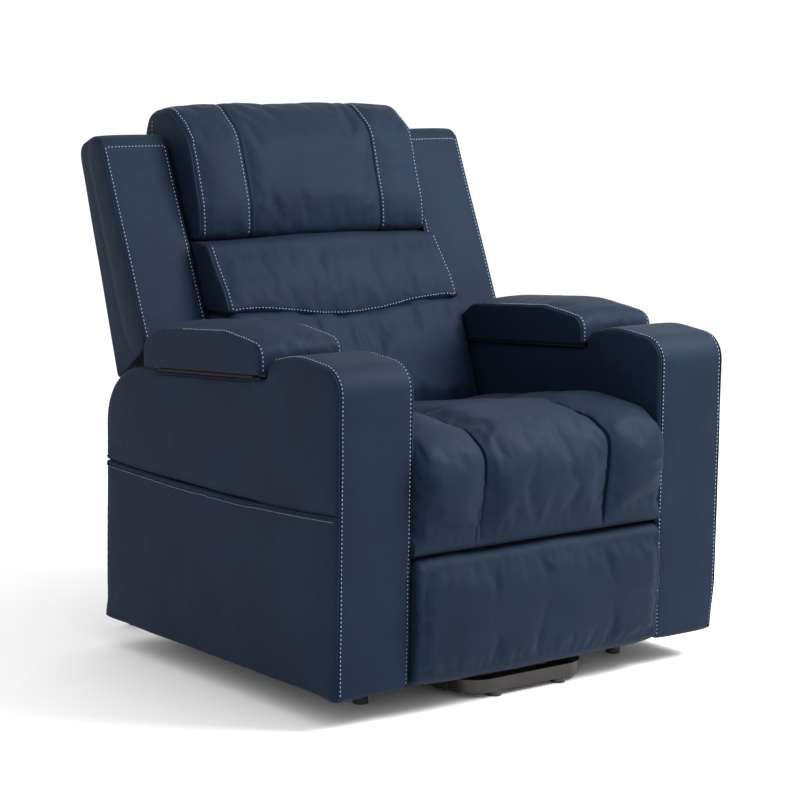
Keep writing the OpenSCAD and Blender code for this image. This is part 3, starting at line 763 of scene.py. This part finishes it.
def build_pocket_side(side, stops, relief, warp):
    """The right arm's outer side: an upper panel and the pocket's panel below the mouth."""
    line = [(y, float(pocket_line(y))) for y in np.linspace(ARM_REAR_Y, 2, 38)]
    upper = rounded([(2, line[-1][1] + 0.1, 0), *HUMP, (SHELF_Y, SHELF_Z - 1, 5),
                     (600, shelf(600) - 1, 0), SHOULDER,
                     *[(y, z + 0.1 + 1.0 * float(mouth(y)), 0) for y, z in line[:-1]]])
    lower = rounded([(2, HEM, 3), *[(y, z - 0.1, 0) for y, z in reversed(line)], (ARM_REAR_Y, HEM, 6)])

    def lipped(x, y, z, s):
        line_z = pocket_line(y)
        return relief(x, y, z, s) + edge(x, 0, ARM_OUT, 1.5) * (z > line_z - 12) * (z < line_z + 12)

    for name, outline, node in (("arm_outer_right", upper, "arm_outer_right"),
                                ("pocket_panel", lower, "pocket_panel_right")):
        piece = prism(name, outline, stops, lipped, caps=(0, 5), side=side, step=5, warp=warp)
        if name == "pocket_panel":
            swell_pocket(piece, side)
        subdivide(piece)
        dress(piece, "chair", "upholstery", node)
    piece = bpy.data.objects["pocket_panel"]
    row = [Vector((side * (ARM_OUT + 8) * MM, y * MM + FRONT, (float(pocket_line(y)) - 9) * MM))
           for y in np.linspace(14, 730, 180)]
    stitches("stitches_pocket", "chair", [(piece, row)], pitch=4.6, length=2.7, thick=0.9)


POCKET_FRONT, POCKET_REAR = 212, 565


def pocket_line(y):
    """Height of the pocket seam along the arm."""
    y = np.asarray(y, float)
    front = 359.5 + 17 * (np.clip(440 - y, 0, 500) / 440) ** 2
    return front + 4.5 * (np.clip(y - 440, 0, 400) / 300) ** 2


def mouth(y):
    """1 along the open part of the pocket, 0 where the panels are sewn together."""
    return smooth(y, POCKET_FRONT, POCKET_FRONT + 60) * (1 - smooth(y, POCKET_REAR - 60, POCKET_REAR))


def swell_pocket(piece, side):
    """The pocket's lip stands a little proud of the panel above it."""
    co = coords(piece)
    y, z = (co[:, 1] - FRONT) / MM, co[:, 2] / MM
    below = pocket_line(y) - z
    push = 2.5 * mouth(y) * np.exp(-(np.clip(below, 0, 999) / 30) ** 2) + 1.2 * np.exp(-((below - 5) / 5) ** 2)
    co[:, 0] += side * push * MM * (np.abs(co[:, 0]) / MM > ARM_OUT - PANEL / 2)
    set_coords(piece, co)


# ---------------------------------------------------------------- lids

LID_LEN, BOARD_TOP = 374, 13.5
SKIRT = 5.5
SHELF_FRAME = (Matrix.Translation((0, SHELF_Y * MM + FRONT, SHELF_Z * MM))
               @ Matrix.Rotation(-SHELF_TILT, 4, "X") @ Matrix.Translation((0, -FRONT, 0)))


def build_lid(side, tag):
    body = "lid_" + tag
    outline = rounded([(3, SKIRT, 5), (0, 57, 28), (110, 79, 140), (330, 77, 50), (LID_LEN, 48, 26),
                       (LID_LEN - 1, SKIRT, 5)])
    x0, x1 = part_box("lid_pad_left")[0].x / MM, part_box("lid_pad_left")[1].x / MM
    middle, half = (x0 + x1) / 2, (x1 - x0) / 2
    board = (x0 + 6, ARM_OUT + 6)

    def relief(x, y, z, s):
        u = (x - middle) / half
        on_top = smooth(z, 30, 60)
        under = (z < SKIRT + 1) & (y > 8.5) & (y < LID_LEN - 8.5) & (x > board[0]) & (x < board[1])
        return (edge(x, x0, x1, 3.5) - 7 * (1 - np.abs(u) ** 2.2) * on_top
                + np.where(under, BOARD_TOP + 0.3 - SKIRT, 0))

    stops = np.array(sorted([*across(x0, x1, 7), *(board[0] + d for d in (-0.4, 0.4)),
                             *(board[1] + d for d in (-0.4, 0.4))]))
    pad = prism("lid_pad_" + tag, outline, stops, relief, caps=(1.5, 1.5), side=side, step=5, grid=8)
    pad.data.transform(SHELF_FRAME)
    stuff(pad, lambda x, y, z: smooth(z - shelf(y), 26, 44) * smooth(half - np.abs(x - middle), 4, 12), 6)

    def sew():
        subdivide(pad)
        seam = lambda x, y, z: (groove(half - 2.5 - np.abs(np.abs(x) - middle), 2.4, 1.5)
                                + pucker(half - 12 - np.abs(np.abs(x) - middle), y, 0.5, 40, 22, 22)
                                * (np.abs(np.abs(x) - middle) < half - 2)
                                ) * smooth(z - shelf(y), 12, 24) * (side * x > 0)
        press(pad, seam)
        dress(pad, body, "upholstery", "lid_pad_" + tag, pad=0.8)
        front = lambda y, z: y < 250 and z > 8
        rows = [(pad, [SHELF_FRAME @ p for p in path_at(outline, side * x, front)]) for x in (x0 + 9, x1 - 9)]
        stitches("stitches_lid_" + tag, body, rows)
    AFTER.append(sew)


# ---------------------------------------------------------------- seat and footrest

def channels(x, edges, depth, sharp=2.6):
    """Inset across sewn channels: 0 on the crown of each channel and depth at its seams."""
    x = np.asarray(x, float)
    result = np.zeros(x.shape)
    for left, right in zip(edges[:-1], edges[1:]):
        u = np.clip((x - (left + right) / 2) / ((right - left) / 2), -1, 1)
        here = (x >= left) & (x <= right)
        result = np.where(here, depth * (1 - np.sqrt(np.clip(1 - np.abs(u) ** sharp, 0, 1))), result)
    return result


def pucker(distance, along, amount, pitch, reach, seed):
    """Small wrinkles that run square to a seam and fade away from it."""
    rng = np.random.default_rng(seed)
    ripple = np.zeros(np.broadcast(distance, along).shape)
    for _ in range(7):
        ripple = ripple + np.sin(along / (pitch * rng.uniform(0.75, 1.9)) * 2 * math.pi + rng.uniform(0, 6.3)
                                 + distance / reach * rng.uniform(-0.8, 0.8))
    fade = np.exp(-np.abs(distance) / reach) * (1 - np.exp(-np.abs(distance) / 3))
    return amount * fade * np.clip(ripple / 2.0, -0.6, 1.2)


SEAT_SEAM = 148


def build_seat():
    outline = rounded([(-6, 284, 12), (-27, 400, 150), (-24, 470, 42), (34, 500, 60), (140, 512, 170),
                       (502, 454, 14), (502, 289, 8), (30, 289, 0), (22, 284, 0)])
    edges = (-SEAT_HALF - 6, -SEAT_SEAM, SEAT_SEAM, SEAT_HALF + 6)

    def relief(x, y, z, s):
        shown = smooth(z, 290, 335) * (1 - smooth(y, 470, 500))
        tuck = 3 * np.exp(-((z - 284) / 10) ** 2) * (y < 10)
        return edge(x, -SEAT_HALF, SEAT_HALF, 26) * shown + shown * (channels(x, edges, 15, 3.4)
                                                                    - 1.2 * waves(s, x, 150, 33)) + tuck

    seat = prism("seat_cushion", outline, across(-SEAT_HALF, SEAT_HALF, 9, (-SEAT_SEAM, SEAT_SEAM)), relief,
                 caps=(0, 0), step=8)
    stuff(seat, lambda x, y, z: smooth(z, 300, 350) * (1 - smooth(y, 440, 480))
          * smooth(np.abs(x - SEAT_SEAM), 6, 24) * smooth(SEAT_HALF - x, 4, 24), 9, slack=0.03)

    def sew():
        subdivide(seat)

        def seams(x, y, z):
            shown = smooth(z, 286, 310) * (1 - smooth(y, 470, 500))
            x = x + 14 * (1 - smooth(z, 295, 430)) * (1 - smooth(x, -140, 0)) * (y < 60)
            run = y - z
            end = smooth(z, 300, 330) * (1 - smooth(y, 60, 160))
            return shown * (groove(np.abs(x) - SEAT_SEAM, 4.5, 2.2)
                            + pucker(np.abs(x) - SEAT_SEAM, run, 1.5, 30, 28, 31)
                            + end * pucker(SEAT_HALF - np.abs(x), run, 3.4, 34, 44, 32))
        press(seat, seams)
        dress(seat, "chair", "upholstery", "seat_cushion", pad=0.8)
    AFTER.append(sew)


def build_footrest():
    low, high = 54.5, 280
    outline = rounded([(23, low, 6), (-9, low, 18), (-18, 170, 160), (-11, high, 20), (23, high, 5)])

    def relief(x, y, z, s):
        shown = 1 - smooth(y, 10, 22)
        swell = -4 * (1 - np.abs(x / SEAT_HALF) ** 4) * smooth(high - z, 0, 60)
        return edge(x, -SEAT_HALF + 3, SEAT_HALF - 3, 10) + shown * (swell - 0.8 * waves(s, x, 160, 43))

    pad = prism("footrest_pad", outline, across(-SEAT_HALF + 3, SEAT_HALF - 3, 8), relief, step=6)
    stuff(pad, lambda x, y, z: (1 - smooth(y, 4, 14)) * smooth(z - low, 6, 30) * smooth(high - z, 6, 34)
          * smooth(SEAT_HALF - x, 4, 26), 7, slack=0.025)

    def sew():
        subdivide(pad)
        press(pad, lambda x, y, z: (1 - smooth(y, 8, 20)) * (pucker(SEAT_HALF - np.abs(x), z, 2.0, 24, 34, 41)
              + smooth(z, 200, 240) * pucker(high - z, x, 1.2, 44, 26, 42)))
        dress(pad, "footrest", "upholstery", "footrest_pad", pad=0.75)
    AFTER.append(sew)


# ---------------------------------------------------------------- back

WING_LEAN = 0.43


def build_wing(side, tag):
    outline = rounded([(636, 588, 5), (637, 612, 12), (797, 985, 30), (879, 955, 24), (874, 925, 60),
                       (808, 723, 0), (742, 517, 6)])
    middle, half = (WING_IN + WING_OUT) / 2, (WING_OUT - WING_IN) / 2

    def relief(x, y, z, s):
        u = (x - middle) / half
        return edge(x, WING_IN, WING_OUT, 4.5) - 2.5 * (1 - np.abs(u) ** 3) - 0.35 * waves(s, x, 190, 51)

    def flare(x, y, z):
        """The outer face stands a little further out at the front than at the rear."""
        behind = y - (676 + WING_LEAN * (z - 700))
        return x + (4 - 9 * smooth(behind, 0, 120)) * smooth(x, middle, WING_OUT), y, z

    wing = prism("wing_" + tag, outline, across(WING_IN, WING_OUT, 8), relief, caps=(1, 4), side=side, step=6,
                 warp=flare)
    subdivide(wing)
    top = 968
    seams = lambda x, y, z: (groove(np.abs(x) - WING_OUT - 1, 1.4, 1.5)
                             + groove(np.abs(x) - WING_IN - 4, 1.4, 1.5)
                             + groove(z - top, 1.2, 1.5) * (y < 830)) * (side * x > 0)
    press(wing, seams)
    dress(wing, "backrest", "upholstery", "wing_" + tag, pad=0.9)
    front = lambda y, z: z > 600 and z < top - 6 and y < 676 + WING_LEAN * (z - 700) + 18
    rows = [(wing, path_at(outline, side * x, front)) for x in (WING_IN + 9, WING_OUT - 5)]
    rows.append((wing, [Vector((side * x * MM, (797 - 18) * MM + FRONT, (top - 7) * MM))
                        for x in np.linspace(WING_IN + 10, WING_OUT - 6, 60)]))
    stitches("stitches_wing_" + tag, "backrest", rows)


HEAD_SEAM = 160


def build_headrest():
    outline = rounded([(686, 779, 22), (692, 850, 120), (736, 990, 64), (800, 1039, 55), (884, 1024, 40),
                       (889, 955, 10), (812, 955, 10), (757, 779, 8)])

    def relief(x, y, z, s):
        shown = smooth(885 - y, 0, 30) * smooth(z, 770, 800)
        bulge = -6 * (1 - (np.clip(np.abs(x) / HEAD_HALF, 0, 1)) ** 2.6) * (1 - 0.7 * smooth(z, 960, 1020))
        taper = 5 * smooth(np.abs(x), 130, HEAD_HALF) * smooth(z, 930, 1010)
        bays = channels(x, (-HEAD_HALF, -HEAD_SEAM, HEAD_SEAM, HEAD_HALF), 3, 3)
        corner = edge(x, -HEAD_HALF, HEAD_HALF, 6 + 6 * smooth(z, 960, 1010))
        return corner + taper + shown * (bulge + bays - 1.0 * waves(s, x, 170, 53))

    head = prism("headrest", outline, across(-HEAD_HALF, HEAD_HALF, 9, (-HEAD_SEAM, HEAD_SEAM)), relief,
                 caps=(3, 3), step=7)
    stuff(head, lambda x, y, z: smooth(870 - y, 0, 30) * smooth(z, 790, 815)
          * smooth(np.abs(x - HEAD_SEAM), 6, 20) * smooth(HEAD_HALF - x, 6, 20), 6)

    def sew():
        subdivide(head)

        def seams(x, y, z):
            shown = smooth(885 - y, 0, 30)
            lines = groove(np.abs(x) - HEAD_SEAM, 2.2, 1.8) + groove(HEAD_HALF - 5 - np.abs(x), 1.8, 1.7)
            return (shown * lines
                    + pucker(z - 787, x, 1.8, 60, 34, 52) * smooth(z, 784, 792)
                    * (y < 740))
        press(head, seams)
        dress(head, "backrest", "upholstery", "headrest", pad=0.85)
        shown = lambda y, z: z > 790 and y < 858
        rows = [(head, path_at(outline, x, shown)) for x in (-HEAD_HALF + 12, -HEAD_SEAM - 7, HEAD_SEAM + 7,
                                                            HEAD_HALF - 12)]
        stitches("stitches_headrest", "backrest", rows)
    AFTER.append(sew)


def lumbar_seam(x):
    """How far the seam under the lumbar panel lies above or below its straight line."""
    x = np.abs(x)
    return -13 + 21 * smooth(x, 10, 235) - 3 * smooth(x, 245, 285)


def build_lumbar():
    outline = rounded([(579, 641, 10), (602, 690, 100), (660, 776, 16), (754, 776, 6), (716, 641, 6)])

    def relief(x, y, z, s):
        front = smooth(-(y - 716 - (z - 641) * 0.3), 20, 60)
        bulge = -7 * np.clip(1 - (x / BACK_HALF) ** 2, 0, 1)
        return edge(x, -BACK_HALF, BACK_HALF, 6) + front * (bulge - 1.3 * waves(s, x, 160, 62))

    def warp(x, y, z):
        return x, y, z + lumbar_seam(x) * (1 - smooth(z, 645, 740))

    piece = prism("lumbar_cushion", outline, across(-BACK_HALF, BACK_HALF, 9), relief, caps=(1, 1), step=7,
                  warp=warp)
    stuff(piece, lambda x, y, z: smooth(700 - y, 0, 30) * smooth(z - lumbar_seam(x), 650, 668)
          * smooth(772 - z, 0, 20) * smooth(BACK_HALF - x, 6, 24), 6)

    def sew():
        subdivide(piece)

        def seams(x, y, z):
            front = (y < 680)
            above = z - 641 - lumbar_seam(x)
            return front * (groove(BACK_HALF - 5 - np.abs(x), 1.6, 1.6) + groove(above - 3, 1.5, 2)
                            + pucker(above, x, 2.0, 60, 40, 61))
        press(piece, seams)
        dress(piece, "backrest", "upholstery", "lumbar_cushion", pad=0.7)
        front = lambda y, z: y < 668 and 652 < z < 774
        rows = [(piece, path_at(outline, x, front)) for x in (-BACK_HALF + 11, BACK_HALF - 11)]
        rows.append((piece, [Vector((x * MM, 578 * MM + FRONT, (651 + float(lumbar_seam(x))) * MM))
                             for x in np.linspace(-BACK_HALF + 14, BACK_HALF - 14, 160)]))
        stitches("stitches_lumbar", "backrest", rows)
    AFTER.append(sew)


def build_lower_back():
    outline = rounded([(522, 408, 16), (503, 455, 40), (540, 560, 120), (575, 640, 14), (714, 640, 6),
                       (628, 408, 6)])

    def relief(x, y, z, s):
        front = smooth(-(y - 628 - (z - 408) * 0.37), 20, 60)
        bulge = -8 * np.clip(1 - (x / BACK_HALF) ** 2, 0, 1)
        corner = edge(x, -BACK_HALF, BACK_HALF, 20) * smooth(z, 400, 420)
        return corner + front * (bulge - 1.6 * waves(s, x, 170, 72))

    def warp(x, y, z):
        return x, y, z + lumbar_seam(x) * smooth(z, 560, 636)

    piece = prism("lower_back_cushion", outline, across(-BACK_HALF, BACK_HALF, 9), relief, step=8, warp=warp)
    stuff(piece, lambda x, y, z: smooth(680 - y, 0, 40) * smooth(z, 415, 440)
          * smooth(632 + lumbar_seam(x) - z, 0, 24) * smooth(BACK_HALF - x, 4, 24), 9, slack=0.03)

    def sew():
        subdivide(piece)
        press(piece, lambda x, y, z: (y < 640) * pucker(640 + lumbar_seam(x) - z, x, 3.2, 80, 50, 71))
        dress(piece, "backrest", "upholstery", "lower_back_cushion", pad=0.7)
    AFTER.append(sew)


def build_rear_flap():
    """Slack cloth that closes the gap between the rear panel and the back."""
    low, high = (746, 322), (741, 470)
    half = 288
    xs = across(-half, half, 12)
    t = np.linspace(0, 1, 25)
    y = low[0] + (high[0] - low[0]) * t + 7 * np.sin(math.pi * t)
    z = low[1] + (high[1] - low[1]) * t
    outer = np.column_stack([y, z])
    inner = outer - np.array((2.5, 0))
    outline = np.vstack([outer, inner[::-1]]) * MM

    def relief(x, y, z, s):
        return edge(x, -half, half, 1.2) * 0.8

    def slack_folds(x, y, z):
        return x, y - 1.6 * waves(x, z, 120, 81) * smooth(z, 325, 345) * (1 - smooth(z, 445, 468)), z

    flap = prism("rear_flap", outline, xs, relief, step=5, warp=slack_folds)
    subdivide(flap)
    flap.data.materials.append(MATERIALS["back_cloth"])
    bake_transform(flap)


# ---------------------------------------------------------------- CAD nodes that stay

def finish_cad_nodes():
    """Every CAD node that stays visible gets its slot's material; the lid boards and hinges get the near-black
    painted shade material instead of theirs.
    """
    for row in frame["record"]["subparts"]:
        node = frame["nodes"][row["node"]]
        if node.hide_render:
            continue
        node.data.materials.clear()
        # Lid boards and hinges are painted black as shade in the gap under the lids.
        painted_shade_part = "lid_board" in row["node"] or "lid_hinge" in row["node"]
        node.data.materials.append(GAP_SHADE if painted_shade_part else MATERIALS[row["material_slot"]])


add_camera()
add_studio()
for arm_side, arm_tag in ((1, "left"), (-1, "right")):
    build_arm(arm_side, arm_tag)
    build_lid(arm_side, arm_tag)
    build_wing(arm_side, arm_tag)
build_seat()
build_footrest()
build_headrest()
build_lumbar()
build_lower_back()
build_rear_flap()
inflate_pads()
for sew_piece in AFTER:
    sew_piece()
finish_cad_nodes()
